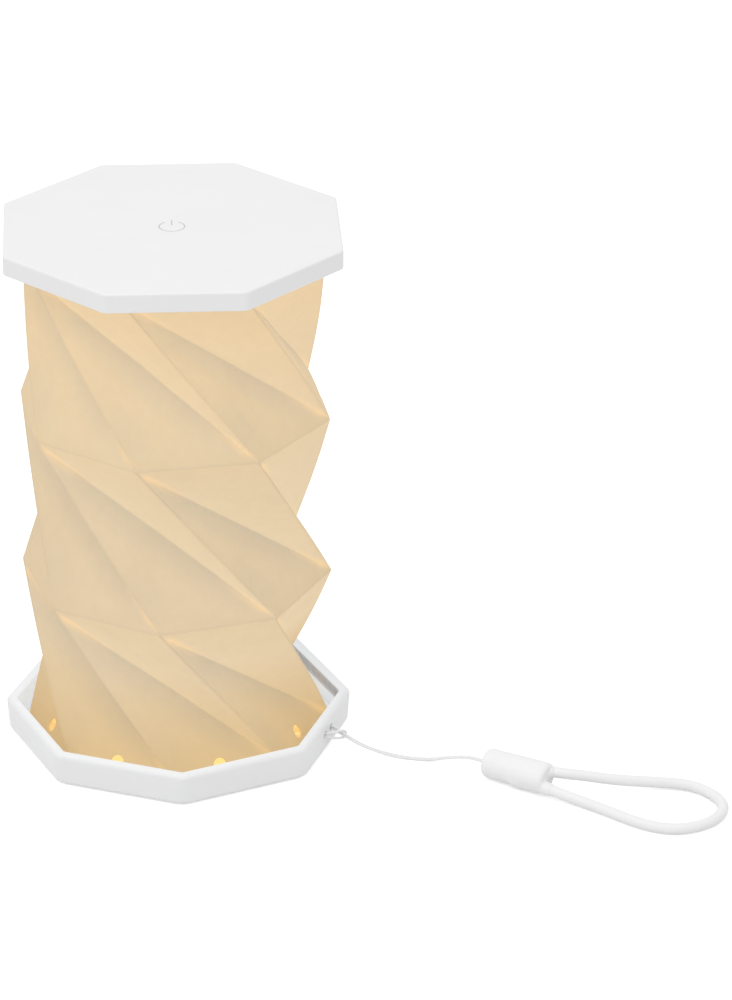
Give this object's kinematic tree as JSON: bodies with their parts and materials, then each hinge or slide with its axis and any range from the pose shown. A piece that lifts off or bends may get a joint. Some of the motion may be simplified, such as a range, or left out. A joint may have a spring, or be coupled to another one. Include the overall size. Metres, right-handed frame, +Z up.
{
  "type": "folding table lamp",
  "caption": "Folding lantern lamp: an octagonal tray and lid joined by a pleated, twisting paper shade that folds flat between them, with a touch switch and a wrist strap.",
  "frame": {"origin": "on the surface the feet stand on, below the middle of the tray", "axes": "+Z up along the lamp's middle line, +X towards a corner of the tray, -Y the front, +Y the side with the charging socket"},
  "size_m": [0.2417, 0.1467, 0.1858],
  "materials": {
    "white_plastic": "fine satin",
    "foot_rubber": "matt",
    "ribbed_steel": "finely ribbed",
    "clamp_plastic": "satin",
    "shade_paper": "folded fibre paper, warm from the light inside",
    "icon_ink": "matt print",
    "copper_foil": "foil",
    "zinc_screws": "zinc plated",
    "magnet_metal": "nickel plated",
    "green_board": "solder mask",
    "chip_black": "moulded",
    "socket_metal": "formed sheet",
    "cell_foil": "laminated foil",
    "tape_foam": "foam",
    "wire_red": "insulation",
    "white_board": "solder mask",
    "led_yellow": "phosphor",
    "frosted_plastic": "frosted, lit from inside",
    "white_cord": "braided",
    "strap_rubber": "soft matt"
  },
  "bodies": {
    "tray": {"tray": "white_plastic", "tray_feet": "foot_rubber", "catch_strips": "ribbed_steel", "lower_shade_clamp": "clamp_plastic", "strap_cord": "white_cord", "strap_sleeve": "strap_rubber", "strap_loop": "strap_rubber"},
    "shade": {"shade": "shade_paper"},
    "lid": {"upper_shade_clamp": "clamp_plastic", "lid_shell": "white_plastic", "touch_icon": "icon_ink", "touch_pad": "copper_foil", "lid_base_plate": "white_plastic", "lid_screws": "zinc_screws", "lid_magnets": "magnet_metal", "touch_contact": "zinc_screws", "control_board": "green_board", "board_chips": "chip_black", "charging_socket": "socket_metal", "socket_tongue": "chip_black", "battery_cell": "cell_foil", "battery_tape": "tape_foam", "battery_wires": "wire_red", "led_board": "white_board", "leds": "led_yellow", "led_wires": "wire_red", "diffuser": "frosted_plastic", "diffuser_screws": "zinc_screws"}
  },
  "joints": [
    {"name": "fold", "type": "slide", "parent": "tray", "child": "shade", "axis": [0, 0, -1], "range_m": [0, 0.1675], "deforming": ["shade"]},
    {"name": "lid_turn", "type": "hinge", "parent": "shade", "child": "lid", "pos_m": [0, 0, 0.1807], "axis": [0, 0, 1], "range_deg": [-112.5, 0]}
  ],
  "couplings": [
    {"joint": "lid_turn", "follows": "fold", "rad_per_m": -11.722}
  ]
}
